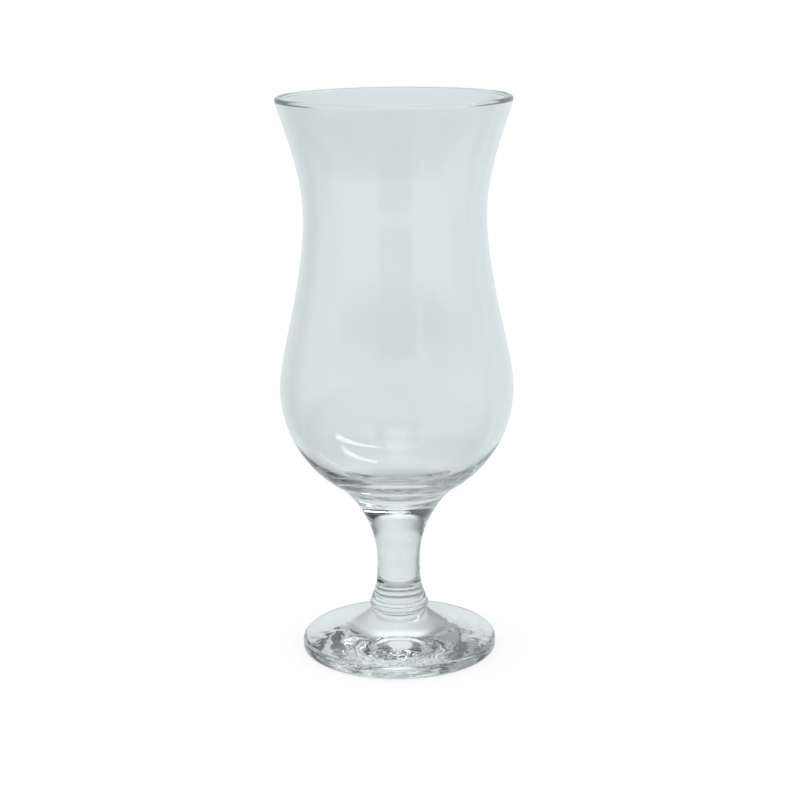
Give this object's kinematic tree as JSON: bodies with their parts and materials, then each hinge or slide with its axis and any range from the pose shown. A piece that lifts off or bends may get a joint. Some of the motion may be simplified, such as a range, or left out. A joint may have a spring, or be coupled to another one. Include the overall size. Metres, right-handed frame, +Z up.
{
  "type": "hurricane glass",
  "caption": "Tall stemmed drinking glass with a round belly, a drawn-in waist and a flared mouth, on a short flared stem, a round collar and a wide foot.",
  "frame": {"origin": "middle of the flat ring under the foot, in the plane of the table", "axes": "+Z up along the axis that every piece is turned about, towards the mouth; +X and +Y level, and alike"},
  "size_m": [0.0844, 0.0844, 0.203],
  "materials": {
    "clear_glass": "clear soda-lime glass, fire-polished"
  },
  "bodies": {
    "root": {"bowl": "clear_glass", "stem": "clear_glass", "collar": "clear_glass", "foot": "clear_glass"}
  },
  "joints": []
}
